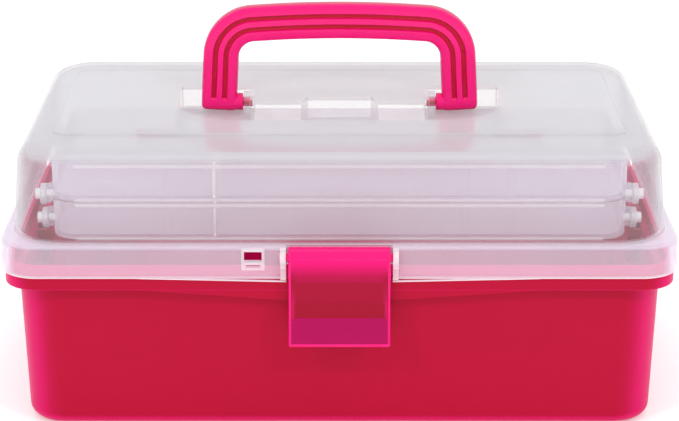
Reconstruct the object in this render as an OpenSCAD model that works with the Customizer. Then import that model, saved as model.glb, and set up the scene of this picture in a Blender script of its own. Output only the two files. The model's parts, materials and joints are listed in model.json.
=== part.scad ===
// Sewing box with a clear domed lid and two clear trays on side arms.
// Millimetres. X across the box, Y from front (-) to back (+), Z up, Z = 0 under the tub.
// Everything is drawn closed, with the carry handle upright.

/* [Box] */
// width over the lid skirt
rim_w = 330; // [300:1:360]
// depth over the lid skirt
rim_d = 200; // [190:1:220]
// plan corner radius of the lid skirt
rim_r = 19; // [18:1:32]
// height of the lip that stands up inside the skirt
lip_top = 86.5; // [84:0.5:88]
// how far the tub narrows from the lip to the floor, each side
tub_draft = 2.6; // [0:0.2:5]
// radius between the tub walls and its floor
tub_foot_r = 6; // [3:0.5:10]
// wall thickness of the tub
tub_wall = 2; // [1.6:0.1:3]

/* [Lid] */
// bottom edge of the skirt
skirt_bottom = 81.1; // [80:0.1:83]
// top face of the ledge that joins skirt and dome
ledge_top = 97; // [95:0.5:99]
// top face of the dome
dome_top = 140; // [139:0.1:146]
// width of the dome where it leaves the ledge
dome_w = 320; // [312:1:322]
// depth of the dome where it leaves the ledge
dome_d = 188; // [182:1:190]
// how far the dome narrows towards its top, each side
dome_draft = 3.2; // [1:0.2:8]
// rounding between the dome walls and its top
dome_edge_r = 9; // [2:0.5:12]
// wall thickness of the lid
lid_wall = 1.8; // [1.5:0.1:2.5]

/* [Handle well] */
// width of the sunken well
well_w = 166; // [160:1:176]
// front edge of the well
well_front = -34; // [-40:1:-33]
// rear edge of the well
well_back = 31; // [28:1:34]
// depth of the well
well_depth = 10.2; // [9:0.1:12]
// width of the raised island between the handle legs
island_w = 93; // [86:1:96]
// front face of the island
island_front = 2; // [0:0.5:6]
// depth of the finger scoop in the island
scoop_depth = 8; // [4:0.5:12]

/* [Handle] */
// position of the handle axis, front to back
handle_y = 21; // [19:0.5:23]
// height of the handle axis
handle_z = 135.2; // [135:0.1:136]
// reach of the handle above its axis
handle_reach = 53.2; // [48:0.2:53.4]
// width over the legs at the axis
handle_w = 145.4; // [140:0.2:148]
// thickness of the handle band
handle_t = 9; // [7:0.2:9]
// width of the handle band
band_w = 18.5; // [14:0.5:19]

/* [Latch] */
// width of the latch
latch_w = 49; // [40:1:50]
// latch axis, front to back
latch_y = -101; // [-101.4:0.1:-100.8]
// height of the latch axis
latch_z = 92.6; // [92:0.1:93]
// lower edge of the latch
latch_bottom = 49; // [44:1:54]

/* [Trays] */
// outside width of a tray
tray_w = 286; // [276:1:286]
// outside front face of a tray
tray_front = -62; // [-66:1:-58]
// outside rear face of a tray
tray_back = 37.6; // [30:0.2:37.8]
// underside of the lower tray
tray_low_z = 87.2; // [87:0.1:88]
// height of one tray
tray_h = 19.2; // [17:0.1:19.4]
// step from one tray up to the next
tray_pitch = 20.2; // [20:0.1:20.4]
// wall thickness of a tray
tray_wall = 1.5; // [1.2:0.1:2]
// first divider groove either side of the middle
groove_first = 39; // [30:1:44]
// spacing of the divider grooves
groove_pitch = 23; // [18:1:26]

/* [Arms] */
// distance from the base pivot to the upper tray pivot
arm_reach = 76; // [70:0.5:76]
// rise of the arms above level when the lid is closed, degrees
arm_rise = 17; // [15:0.5:18]
// width of an arm
arm_w = 10.5; // [9:0.5:11]
// thickness of an arm
arm_t = 2.8; // [2:0.1:3]
// radius of the arm pins
pin_r = 2; // [1.5:0.1:2.5]
// radial running gap round the pins
pin_gap = 0.08; // [0.05:0.01:0.1]

/* [Hidden] */
$fn = 48;

rx = rim_w / 2;
ry = rim_d / 2;
// inner faces of the skirt
skirt_t = 2.2;
// lip: the wall that stands inside the skirt
lip_x = rx - 3.6;
lip_y = ry - 3.6;
lip_t = 2.2;
lip_z0 = 78.5;
// flange: the down-turned edge under the skirt
flange_x = rx - 1.4;
flange_y = ry - 1.4;
flange_t = 2;
flange_z0 = 74.5;
flange_z1 = 80.7;
apron_z0 = 69.3;
// tub walls under the flange
body_x = rx - 6.8;
body_y = ry - 6.7;
body_r = 22;
// lid
dome_x = dome_w / 2;
dome_y = dome_d / 2;
dome_r = 27;
panel_h = 1.3;
well_floor = dome_top - well_depth;
well_r = 34;
scoop_w = 32;
lug_w = 9;
lug_x = 50.2;
stub_x = 50.7;
// rear hinge axis
hinge_y = 105;
hinge_z = 90;
hinge_x = 95;
hinge_pin_r = 1.5;
barrel_r = 4;
barrel_w = 24;
rear_skirt_z = 88.6;
// height where the lid's walls meet its top
lid_split = 128;
loop_x0 = -47.2;
loop_x1 = -36;
loop_z0 = 85.8;
// tray arms: base pivots, tray pivots, lid pivot
ca = cos(arm_rise);
sa = sin(arm_rise);
half_reach = arm_reach / 2;
up_front = [-54, 109.2];
base_rear = [up_front[0] + arm_reach * ca, up_front[1] - arm_reach * sa];
tray_rear = [up_front[0] + half_reach * ca, up_front[1] - half_reach * sa];
tray_fore = [-50, 95.3];
base_fore = [tray_fore[0] + half_reach * ca, tray_fore[1] - half_reach * sa];
lid_pivot = [hinge_y - arm_reach * ca, hinge_z + arm_reach * sa];
tray_x = tray_w / 2;
boss_x = tray_x + 2.3;
arm_x0 = boss_x + 0.3;
arm_x1 = arm_x0 + arm_t;
ear_x0 = arm_x1 + 0.6;
ear_t = 2.6;
head_r = 2.75;
tray_r = 12;
head_t = 2.3;
strap_w = arm_w - 1;

// Rounded plan, standing between two heights.
module slab(hx, hy, r, z0, z1) {
  translate([-(hx - r), -hy, z0])
    cube([2 * (hx - r), 2 * hy, z1 - z0]);
  translate([-hx, -(hy - r), z0])
    cube([2 * hx, 2 * (hy - r), z1 - z0]);
  for (sx = [-1, 1], sy = [-1, 1])
    translate([sx * (hx - r), sy * (hy - r), z0])
      cylinder(r = r, h = z1 - z0);
}

// Four thin corner discs: one level of a tapered shell.
module level(hx, hy, r, z) {
  for (sx = [-1, 1], sy = [-1, 1])
    translate([sx * (hx - r), sy * (hy - r), z])
      cylinder(r = r, h = 0.02);
}

// Solid tub shape, inset by g, with its floor at z0.
module tub_form(g, z0) {
  bx = body_x - tub_draft;
  by = body_y - tub_draft;
  fr = tub_foot_r - g;
  hull() {
    for (a = [0, 22.5, 45, 67.5, 90])
      level(bx - g - fr * (1 - sin(a)), by - g - fr * (1 - sin(a)),
        body_r - g - fr * (1 - sin(a)), z0 + fr * (1 - cos(a)));
    level(body_x - g, body_y - g, body_r - g, lip_z0);
  }
}

// Solid dome shape, inset by g.
module dome_form(g, z0, z1) {
  er = dome_edge_r - g / 2;
  tx = dome_x - dome_draft - g;
  ty = dome_y - dome_draft - g;
  tr = dome_r - 2 - g;
  hull() {
    level(dome_x - g, dome_y - g, dome_r - g, z0);
    for (a = [0, 22.5, 45, 67.5, 90])
      level(tx - er * (1 - cos(a)), ty - er * (1 - cos(a)), tr - er * (1 - cos(a)),
        z1 - er + er * sin(a) - 0.02);
  }
}

// Mirror a right-hand piece to the left.
module on_side(side) {
  if (side < 0)
    mirror([1, 0, 0]) children();
  else
    children();
}

// Round bar along X between two X positions, at a [y, z] point.
module bar(x0, x1, p, r) {
  translate([x0, p[0], p[1]])
    rotate([0, 90, 0])
      cylinder(r = r, h = x1 - x0);
}

module arm_ear() {
  difference() {
    union() {
      bar(ear_x0, ear_x0 + ear_t, base_rear, 6);
      bar(ear_x0, ear_x0 + ear_t, base_fore, 6);
      translate([ear_x0, 0, 0])
        rotate([90, 0, 90])
          linear_extrude(height = ear_t)
            polygon([[base_fore[0] - 6, 60], [base_rear[0] + 6, 60],
              [base_rear[0] + 6, base_rear[1]], [base_rear[0], base_rear[1] + 6],
              [base_fore[0], base_fore[1] + 6], [base_fore[0] - 6, base_fore[1]]]);
      for (y = [base_fore[0] - 6, (base_fore[0] + base_rear[0]) / 2 - 1, base_rear[0] + 4])
        translate([ear_x0 + ear_t - 0.5, y, 60])
          cube([body_x - 1 - ear_x0 - ear_t + 0.2, 2, 18.4]);
    }
    bar(ear_x0 - 1, ear_x0 + ear_t + 1, base_rear, pin_r);
    bar(ear_x0 - 1, ear_x0 + ear_t + 1, base_fore, pin_r);
  }
}

module hinge_posts() {
  for (s = [-1, 1], k = [-1, 1]) {
    x0 = s * hinge_x + k * (barrel_w / 2 + 0.4 + 4) - 4;
    difference() {
      union() {
        bar(x0, x0 + 8, [hinge_y, hinge_z], barrel_r);
        translate([x0, hinge_y - 3.8, flange_z0])
          cube([8, 7.6, hinge_z - flange_z0]);
        translate([x0, body_y - 1, flange_z0])
          cube([8, hinge_y - body_y, 4]);
      }
      bar(x0 - 1, x0 + 9, [hinge_y, hinge_z], hinge_pin_r);
    }
  }
}

module base_tub() {
  color("DeepPink") {
    difference() {
      union() {
        tub_form(0, 0);
        slab(lip_x, lip_y, rim_r - 3.6, lip_z0 - 0.6, lip_top);
        slab(flange_x, flange_y, rim_r - 1.4, lip_z0, flange_z1);
        difference() {
          slab(flange_x, flange_y, rim_r - 1.4, flange_z0, lip_z0);
          slab(flange_x - flange_t, flange_y - flange_t, rim_r - 3.4, flange_z0 - 1, lip_z0 + 0.1);
        }
        // apron under the latch, leaning in towards its lower edge
        difference() {
          translate([0, -flange_y, 0])
            rotate([-90, 0, 0])
              linear_extrude(height = flange_t + 0.6)
                polygon([[-97, -77], [-97, -flange_z0], [-27, -apron_z0],
                  [27, -apron_z0], [97, -flange_z0], [97, -77]]);
          translate([0, -flange_y, 78])
            rotate([-7.2, 0, 0])
              translate([-100, -5, -14])
                cube([200, 5, 14]);
        }
      }
      tub_form(tub_wall, tub_wall + 0.2);
      slab(body_x - tub_wall, body_y - tub_wall, body_r - tub_wall, lip_z0 - 0.1, lip_z0 + 3);
      slab(lip_x - lip_t, lip_y - lip_t, rim_r - 5.8, lip_z0 + 2, lip_top + 1);
    }
    arm_ear();
    mirror([1, 0, 0])
      arm_ear();
    hinge_posts();
  }
}

// Plan of the well with the island left standing; g grows the sunken part.
module well_plan(g) {
  difference() {
    union() {
      translate([-well_w / 2 - g, well_front + well_r])
        square([well_w + 2 * g, well_back - well_front - well_r + g]);
      translate([-well_w / 2 + well_r, well_front - g])
        square([well_w - 2 * well_r, well_r + 1 + g]);
      for (s = [-1, 1])
        translate([s * (well_w / 2 - well_r), well_front + well_r])
          circle(r = well_r + g);
    }
    difference() {
      translate([-island_w / 2 + g, island_front + g])
        square([island_w - 2 * g, 60]);
      polygon([[-scoop_w / 2 - 2.5 - g, island_front - 1], [scoop_w / 2 + 2.5 + g, island_front - 1],
        [scoop_w / 2 + g, island_front + scoop_depth + g],
        [-scoop_w / 2 - g, island_front + scoop_depth + g]]);
    }
  }
}

module lid_barrels() {
  for (s = [-1, 1])
    difference() {
      union() {
        bar(s * hinge_x - barrel_w / 2, s * hinge_x + barrel_w / 2, [hinge_y, hinge_z], barrel_r);
        translate([s * hinge_x - barrel_w / 2, ry - 1, hinge_z])
          cube([barrel_w, hinge_y - ry + 1, barrel_r]);
      }
      bar(s * hinge_x - barrel_w, s * hinge_x + barrel_w, [hinge_y, hinge_z], hinge_pin_r + pin_gap);
    }
}

// Cheeks at the ends of the latch, with the bore for its axle.
module latch_cheeks() {
  for (s = [-1, 1]) {
    bar(min(s * 25.7, s * 28.4), max(s * 25.7, s * 28.4), [latch_y, latch_z], 4.4);
    translate([min(s * 25.7, s * 28.4), latch_y - 0.4, skirt_bottom])
      cube([2.7, 3, latch_z - skirt_bottom]);
    translate([min(s * 25.7, s * 28.4), latch_y, latch_z])
      cube([2.7, 5, 4.4]);
  }
}

// The lid is one moulding. It is drawn as five pieces that meet face to face.
module lid_skirt() {
  color("WhiteSmoke", 0.5)
    difference() {
      union() {
        difference() {
          slab(rx, ry, rim_r, skirt_bottom, ledge_top);
          slab(dome_x - lid_wall, dome_y - lid_wall, dome_r - lid_wall, ledge_top - 4, ledge_top + 1);
          slab(rx - skirt_t, ry - skirt_t, rim_r - skirt_t, skirt_bottom - 1, ledge_top - 1.8);
          // notch for the latch
          translate([-25.7, -ry - 3, skirt_bottom - 1])
            cube([51.4, ry + 3 - dome_y - 1.4, 30]);
        }
        // wall behind the latch
        translate([-28.4, -dome_y - 1.4, 87])
          cube([56.8, 1.4, 9.5]);
        latch_cheeks();
        // the lower edge dips towards the latch
        for (s = [-1, 1])
          mirror([s > 0 ? 0 : 1, 0, 0])
            translate([0, -ry + 1.05, 0])
              rotate([90, 0, 0])
                linear_extrude(height = 1.05)
                  polygon([[25.7, skirt_bottom - 1.6], [97, skirt_bottom], [97, skirt_bottom + 1],
                    [25.7, skirt_bottom + 1]]);
      }
      bar(-30, 30, [latch_y, latch_z], 1.9 + pin_gap);
      // the skirt stops above the lip along the back
      translate([-rx - 1, 72, skirt_bottom - 1])
        cube([rim_w + 2, 40, rear_skirt_z - skirt_bottom + 1]);
      // room for the padlock loop
      translate([loop_x0, -ry - 1, loop_z0])
        cube([loop_x1 - loop_x0, 1 + skirt_t, ledge_top + 1 - loop_z0]);
    }
  color("WhiteSmoke", 0.5)
    lid_barrels();
}

module lid_walls() {
  color("WhiteSmoke", 0.5)
    difference() {
      union() {
        difference() {
          dome_form(0, ledge_top, dome_top);
          dome_form(lid_wall, ledge_top - 1, dome_top - lid_wall);
          translate([-200, -150, lid_split])
            cube([400, 300, 40]);
        }
        // posts that carry the upper tray
        for (s = [-1, 1])
          bar(min(s * (boss_x + 0.5), s * 157.4), max(s * (boss_x + 0.5), s * 157.4), lid_pivot, 5.2);
      }
      for (s = [-1, 1])
        bar(min(s * boss_x, s * 154), max(s * boss_x, s * 154), lid_pivot, pin_r + pin_gap);
    }
}

module lid_top() {
  color("WhiteSmoke", 0.5)
    difference() {
      union() {
        dome_form(0, ledge_top, dome_top);
        translate([0, 3, 0]) {
          slab(142, 61, 8, dome_top - 1, dome_top + panel_h / 2);
          slab(141, 60, 7, dome_top - 1, dome_top + panel_h);
        }
      }
      dome_form(lid_wall, ledge_top - 1, dome_top - lid_wall);
      translate([-200, -150, ledge_top - 5])
        cube([400, 300, lid_split - ledge_top + 5]);
      // opening of the well
      translate([0, 0, well_floor])
        linear_extrude(height = well_depth + 3)
          well_plan(0);
    }
}

module lid_well() {
  color("WhiteSmoke", 0.5)
    difference() {
      union() {
        difference() {
          translate([0, 0, well_floor - lid_wall])
            linear_extrude(height = well_depth)
              well_plan(lid_wall);
          translate([0, 0, well_floor])
            linear_extrude(height = well_depth)
              well_plan(0);
        }
        // lugs on the island for the handle stubs
        for (s = [-1, 1]) {
          translate([s * (lug_x + island_w / 2 - 1) / 2 - (lug_x - island_w / 2 + 1) / 2,
            handle_y - lug_w / 2, well_floor - 0.6])
            cube([lug_x - island_w / 2 + 1, lug_w, well_depth - lid_wall + 0.6]);
          translate([s * (lug_x + island_w / 2) / 2 - (lug_x - island_w / 2) / 2,
            handle_y - lug_w / 2, well_floor])
            cube([lug_x - island_w / 2, lug_w, well_depth]);
        }
      }
      bar(-lug_x - 1, lug_x + 1, [handle_y, handle_z], 2.5 + pin_gap);
    }
}

module padlock_loop() {
  color("WhiteSmoke", 0.5)
    difference() {
      translate([loop_x0, -ry - 0.8, loop_z0])
        cube([loop_x1 - loop_x0, 0.8 + skirt_t, ledge_top - loop_z0]);
      translate([loop_x0 + 1.3, -ry - 2, 90])
        cube([loop_x1 - loop_x0 - 2.6, 6, 5.3]);
      translate([loop_x0 + 2.1, -ry - 2, 87])
        cube([loop_x1 - loop_x0 - 4.2, 6, 1.6]);
    }
}

module latch() {
  color("HotPink") {
    bar(-latch_w / 2, latch_w / 2, [latch_y, latch_z], 5.2);
    bar(-28, 28, [latch_y, latch_z], 1.9);
    translate([-latch_w / 2, 0, 0])
      rotate([90, 0, 90])
        linear_extrude(height = latch_w)
          polygon([[-105.9, latch_z - 1], [-105.3, 88.2], [-103.9, 85], [-103.3, 80],
            [-103.3, 68], [-103.8, 62], [-105.6, 56], [-107.6, 51.6], [-108.6, latch_bottom],
            [-106.2, latch_bottom], [-104.6, 52.6], [-101.8, 59], [-100.6, 62.6],
            [-98.2, 63.8], [-98, 67.2], [-100.6, 68.4], [-100.6, 87], [-100.2, latch_z - 1]]);
    // side rims of the sunken front panel
    for (s = [-1, 1])
      translate([s * (latch_w / 2 - 0.9) - 0.9, 0, 0])
        rotate([90, 0, 90])
          linear_extrude(height = 1.8)
            polygon([[-105.7, 90], [-104.9, 80], [-104.9, 68], [-105.6, 61], [-107.4, 54],
              [-105, 54], [-103, 60], [-103, 90]]);
  }
}

// Outline of the handle from the front, inset by g from its outer edge.
module handle_plan(g) {
  hull() {
    translate([-14, handle_reach - 21])
      circle(r = 21 - g);
    translate([14, handle_reach - 21])
      circle(r = 21 - g);
    for (s = [-1, 1]) {
      translate([s * (handle_w / 2 - 27.6), handle_reach - 27.6])
        circle(r = 26 - g);
      translate([s * (handle_w / 2 - 4), 0])
        circle(r = 4 - min(g, 3.9));
      translate([s * (handle_w / 2 - 4), -10])
        square([0.1, 0.1]);
    }
  }
}

module handle_hole() {
  hull() {
    translate([-14, handle_reach - 17.2 - 10])
      circle(r = 10);
    translate([14, handle_reach - 17.2 - 10])
      circle(r = 10);
    for (s = [-1, 1]) {
      translate([s * (handle_w / 2 - 1.6 - band_w - 10), handle_reach - 17.2 - 11.6])
        circle(r = 10);
      translate([s * (handle_w / 2 - band_w - 0.05), -12])
        square([0.1, 0.1]);
    }
  }
}

module handle_band(g0, g1, y0, y1) {
  translate([0, y1, 0])
    rotate([90, 0, 0])
      linear_extrude(height = y1 - y0)
        difference() {
          handle_plan(g0);
          handle_plan(g1);
        }
}

module handle() {
  color("DeepPink")
    translate([0, handle_y, handle_z]) {
      difference() {
        intersection() {
          translate([0, handle_t / 2, 0])
            rotate([90, 0, 0])
              linear_extrude(height = handle_t)
                difference() {
                  handle_plan(0);
                  handle_hole();
                }
          union() {
            rotate([0, 90, 0])
              translate([0, 0, -100])
                cylinder(r = handle_t / 2, h = 200);
            translate([-100, -handle_t / 2, 0])
              cube([200, handle_t, 80]);
          }
        }
        // pairs of grooves front and back
        for (y = [-handle_t / 2 - 1, handle_t / 2 - 0.9])
          difference() {
            union() {
              handle_band(5.5, 8, y, y + 1.9);
              handle_band(11.4, 13.9, y, y + 1.9);
            }
            translate([-100, -20, -30])
              cube([200, 40, 31.5]);
          }
      }
      for (s = [-1, 1]) {
        bar(min(s * stub_x, s * 56), max(s * stub_x, s * 56), [0, 0], handle_t / 2);
        bar(min(s * 45.8, s * 56), max(s * 45.8, s * 56), [0, 0], 2.5);
      }
    }
}

// A tray standing on z = 0, with its pivot bosses.
module tray(pivots) {
  d = tray_back - tray_front;
  cy = (tray_back + tray_front) / 2;
  difference() {
    union() {
      translate([0, cy, 0]) {
        slab(tray_x, d / 2, tray_r, 0, tray_h);
        translate([-tray_x + 12, -d / 2 - 1, tray_h - 1.6])
          cube([tray_w - 24, 2, 1.6]);
        translate([-tray_x + 12, -d / 2 - 0.7, 0])
          cube([tray_w - 24, 2, 1.2]);
      }
      for (s = [-1, 1], p = pivots)
        bar(min(s * (tray_x - 6), s * boss_x), max(s * (tray_x - 6), s * boss_x), p, 4.5);
    }
    // a boss that hangs below the floor stands clear of the tray beneath
    for (s = [-1, 1])
      translate([s * (tray_x - 3) - 3.45, -80, -8])
        cube([6.9, 140, 8]);
    translate([0, cy, 0])
      slab(tray_x - tray_wall, d / 2 - tray_wall, tray_r - tray_wall, tray_wall, tray_h + 1);
    for (s = [-1, 1], p = pivots)
      bar(min(s * (tray_x - 3), s * (boss_x + 1)), max(s * (tray_x - 3), s * (boss_x + 1)), p, pin_r);
  }
  // divider grooves, front and back
  for (s = [-1, 1], n = [0, 1, 2], k = [-1, 1], e = [0, 1])
    translate([s * (groove_first + n * groove_pitch) + k * 1.5 - 0.5,
      e ? tray_back - tray_wall - 1.4 : tray_front + tray_wall - 0.1, tray_wall - 0.1])
      cube([1, 1.5, tray_h - 4]);
}

function rel(p, z) = [p[0], p[1] - z];

module lower_tray() {
  color("Lavender", 0.5)
    translate([0, 0, tray_low_z])
      tray([rel(tray_fore, tray_low_z), rel(tray_rear, tray_low_z)]);
}

module upper_tray() {
  z = tray_low_z + tray_pitch;
  color("Lavender", 0.5)
    translate([0, 0, z])
      tray([rel(up_front, z), rel(lid_pivot, z)]);
}

module divider(z) {
  color("Lavender", 0.5)
    translate([-groove_first - groove_pitch - 0.7, tray_front + tray_wall + 0.1, z + tray_wall])
      cube([1.4, tray_back - tray_front - 2 * tray_wall - 0.2, tray_h - 3]);
}

module lower_divider() {
  divider(tray_low_z);
}

module upper_divider() {
  divider(tray_low_z + tray_pitch);
}

// Flat arm with round ends; p and q are its end pivots.
module arm(p, q, holes) {
  len = norm(q - p);
  ang = atan2(q[1] - p[1], q[0] - p[0]);
  color("White", 0.6)
    difference() {
      union() {
        bar(arm_x0, arm_x1, p, arm_w / 2);
        bar(arm_x0, arm_x1, q, arm_w / 2);
        translate([arm_x0, p[0], p[1]])
          rotate([ang, 0, 0])
            translate([0, 0, -strap_w / 2])
              cube([arm_t, len, strap_w]);
      }
      for (h = holes)
        bar(arm_x0 - 1, arm_x1 + 1, h, pin_r + pin_gap);
    }
}

module long_arm(side) {
  on_side(side)
    arm(base_rear, up_front, [base_rear, tray_rear, up_front]);
}

module short_arm(side) {
  on_side(side)
    arm(base_fore, tray_fore, [base_fore, tray_fore]);
}

// Pin set in the tub, head on the inner side of the arm.
module base_pin(side, p) {
  color("White")
    on_side(side) {
      bar(boss_x - 1.8, arm_x0 - 0.3, p, head_r);
      bar(boss_x - 0.1, ear_x0 + ear_t, p, pin_r);
    }
}

// Pin set in a tray wall, head outside the arm.
module tray_pin(side, p) {
  color("White")
    on_side(side) {
      bar(tray_x - tray_wall, arm_x1 + 0.4, p, pin_r);
      bar(arm_x1 + 0.3, arm_x1 + 0.3 + head_t, p, head_r);
    }
}

// Pin set in the upper tray that turns in the lid post.
module lid_pin(side) {
  color("White")
    on_side(side)
      bar(tray_x - tray_wall, 152, lid_pivot, pin_r);
}

module hinge_pin(side) {
  color("Silver")
    on_side(side)
      bar(hinge_x - barrel_w / 2 - 8.4, hinge_x + barrel_w / 2 + 8.4, [hinge_y, hinge_z], hinge_pin_r);
}

base_tub();
lid_skirt();
lid_walls();
lid_top();
lid_well();
padlock_loop();
latch();
handle();
lower_tray();
upper_tray();
lower_divider();
upper_divider();
long_arm(-1);  // long_arm_left
long_arm(1);  // long_arm_right
short_arm(-1);  // short_arm_left
short_arm(1);  // short_arm_right
hinge_pin(-1);  // hinge_pin_left
hinge_pin(1);  // hinge_pin_right
base_pin(-1, base_rear);  // base_pin_rear_left
base_pin(1, base_rear);  // base_pin_rear_right
base_pin(-1, base_fore);  // base_pin_front_left
base_pin(1, base_fore);  // base_pin_front_right
tray_pin(-1, tray_rear);  // tray_pin_rear_left
tray_pin(1, tray_rear);  // tray_pin_rear_right
tray_pin(-1, tray_fore);  // tray_pin_front_left
tray_pin(1, tray_fore);  // tray_pin_front_right
tray_pin(-1, up_front);  // upper_pin_front_left
tray_pin(1, up_front);  // upper_pin_front_right
lid_pin(-1);  // lid_pin_left
lid_pin(1);  // lid_pin_right
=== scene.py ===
"""Sewing box with trays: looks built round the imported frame. Metres, +Z up, front is -Y."""

import json
import math

import bmesh
import bpy
from mathutils import Matrix, Vector


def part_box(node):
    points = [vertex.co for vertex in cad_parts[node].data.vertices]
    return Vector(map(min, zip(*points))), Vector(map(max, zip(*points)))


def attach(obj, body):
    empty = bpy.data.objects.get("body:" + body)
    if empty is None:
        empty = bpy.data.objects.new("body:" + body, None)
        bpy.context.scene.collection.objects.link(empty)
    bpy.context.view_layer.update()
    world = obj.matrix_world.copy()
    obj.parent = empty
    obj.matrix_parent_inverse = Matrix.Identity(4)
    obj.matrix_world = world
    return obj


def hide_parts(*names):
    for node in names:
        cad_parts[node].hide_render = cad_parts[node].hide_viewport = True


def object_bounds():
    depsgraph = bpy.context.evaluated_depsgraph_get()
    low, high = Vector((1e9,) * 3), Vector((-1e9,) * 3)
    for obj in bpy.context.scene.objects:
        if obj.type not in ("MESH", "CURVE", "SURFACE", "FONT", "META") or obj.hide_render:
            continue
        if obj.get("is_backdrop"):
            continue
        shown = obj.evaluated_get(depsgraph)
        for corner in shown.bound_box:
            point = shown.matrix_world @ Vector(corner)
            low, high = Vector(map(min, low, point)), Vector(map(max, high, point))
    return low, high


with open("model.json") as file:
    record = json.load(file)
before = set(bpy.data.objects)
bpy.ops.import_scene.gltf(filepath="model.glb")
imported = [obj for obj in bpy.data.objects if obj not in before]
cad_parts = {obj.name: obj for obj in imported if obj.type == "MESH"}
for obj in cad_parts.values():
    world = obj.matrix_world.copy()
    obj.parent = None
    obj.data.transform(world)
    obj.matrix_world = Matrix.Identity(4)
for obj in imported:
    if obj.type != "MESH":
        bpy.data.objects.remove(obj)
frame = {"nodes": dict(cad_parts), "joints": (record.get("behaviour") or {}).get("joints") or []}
cad_low, cad_high = (Vector(c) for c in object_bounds())
joints = {j["name"]: j for j in frame["joints"]}
mm = 0.001


def pivot(name):
    """(y, z) of a joint's axis."""
    p = joints[name]["pos_m"]
    return p[1], p[2]


# ---------------------------------------------------------------- mesh tools
def finish_mesh(name, bm, body, material, replaces=(), angle=32, weighted=True):
    """Turn a bmesh into a named piece on a body, smooth but for edges sharper than angle."""
    bmesh.ops.remove_doubles(bm, verts=bm.verts, dist=2e-6)
    bmesh.ops.recalc_face_normals(bm, faces=bm.faces)
    limit = math.radians(angle)
    for f in bm.faces:
        f.smooth = True
    for e in bm.edges:
        e.smooth = len(e.link_faces) == 2 and e.calc_face_angle(0) < limit
    me = bpy.data.meshes.new(name)
    bm.to_mesh(me)
    bm.free()
    ob = bpy.data.objects.new(name, me)
    bpy.context.scene.collection.objects.link(ob)
    if weighted:
        wn = ob.modifiers.new("normals", "WEIGHTED_NORMAL")
        wn.keep_sharp = True
        wn.weight = 80
    me.materials.append(material)
    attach(ob, body)
    if replaces:
        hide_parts(*replaces)
    return ob


def rounded(points, radii, n=5):
    """Polyline with each corner rounded: points are 2D, radii one per point (0 keeps it sharp)."""
    out = []
    last = len(points) - 1
    for i, (p, r) in enumerate(zip(points, radii)):
        p = Vector(p)
        if r <= 0 or i in (0, last):
            out.append(p)
            continue
        a, b = Vector(points[i - 1]) - p, Vector(points[i + 1]) - p
        half = a.angle(b) / 2
        if half > math.radians(88.5):                    # nearly straight: the same count of points, unbent
            out += [p + a * 0.05 * (1 - k / n) + b * 0.05 * k / n for k in range(n + 1)]
            continue
        t = min(r / math.tan(half), a.length * 0.49, b.length * 0.49)
        r = t * math.tan(half)
        a.normalize()
        b.normalize()
        c = p + (a + b).normalized() * (r / math.sin(half))
        s, e = p + a * t - c, p + b * t - c
        sweep = s.angle_signed(e)
        for k in range(n + 1):
            q = s.copy()
            q.rotate(Matrix.Rotation(-sweep * k / n, 2))
            out.append(c + q)
    return out


def closed_rounded(points, radii, n=5):
    """The same for a closed outline."""
    return rounded([points[-1], *points, points[0]], [0, *radii, 0], n)[1:-1]


def ring(hx, hy, r, z, cy=0.0, seg=12):
    """Rounded rectangle in plan, as a list of points."""
    r = max(r, 0.4 * mm)
    out = []
    for q, (sx, sy) in enumerate(((1, 1), (-1, 1), (-1, -1), (1, -1))):
        for k in range(seg + 1):
            a = math.pi / 2 * (q + k / seg)
            out.append(Vector((sx * (hx - r) + r * math.cos(a), cy + sy * (hy - r) + r * math.sin(a), z)))
    return out


def skin(bm, rings):
    """Quads between successive rings of equal length, and n-gon caps at both ends."""
    vs = [[bm.verts.new(p) for p in rg] for rg in rings]
    n = len(vs[0])
    for a, b in zip(vs, vs[1:]):
        for i in range(n):
            j = (i + 1) % n
            bm.faces.new((a[i], a[j], b[j], b[i]))
    bm.faces.new(vs[0][::-1])
    bm.faces.new(vs[-1])


def key_profile(keys, radii, n=5):
    """Profile through (half x, half y, corner radius, z) keys, its bends rounded as seen in (x, z)."""
    out = []
    for i, (k, r) in enumerate(zip(keys, radii)):
        p = Vector(k)
        if r <= 0 or i in (0, len(keys) - 1):
            out.append(p)
            continue
        q, s = Vector(keys[i - 1]) - p, Vector(keys[i + 1]) - p
        a, b = Vector((q[0], q[3])), Vector((s[0], s[3]))
        half = a.angle(b) / 2
        if half > math.radians(88.5):
            out.append(p)
            continue
        t = min(r / math.tan(half), a.length * 0.49, b.length * 0.49)
        p0, p2, w = p + q * (t / a.length), p + s * (t / b.length), math.sin(half)
        for m in range(n + 1):
            u = m / n
            k0, k1, k2 = (1 - u) ** 2, 2 * u * (1 - u) * w, u * u
            out.append((p0 * k0 + p * k1 + p2 * k2) / (k0 + k1 + k2))
    return out


def shell(keys, radii, cy=0.0, seg=12, n=5):
    """Closed solid from an open profile of keys, capped at both ends."""
    bm = bmesh.new()
    skin(bm, [ring(*k, cy, seg) for k in key_profile(keys, radii, n)])
    bmesh.ops.recalc_face_normals(bm, faces=bm.faces)
    return bm


def plan(hx, hy, r):
    """Key maker for one rounded plan: offset and height to a key."""
    return lambda off, z: (hx + off, hy + off, max(r + off, 0.5 * mm), z)


def prism(points, lo, hi, axis="Z"):
    """Solid of a 2D outline pulled along an axis: X takes (y, z), Y takes (x, z), Z takes (x, y)."""
    put = {"X": lambda p, t: (t, p[0], p[1]), "Y": lambda p, t: (p[0], t, p[1]),
           "Z": lambda p, t: (p[0], p[1], t)}[axis]
    bm = bmesh.new()
    skin(bm, [[Vector(put(p, t)) for p in points] for t in (lo, hi)])
    bmesh.ops.recalc_face_normals(bm, faces=bm.faces)
    return bm


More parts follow.
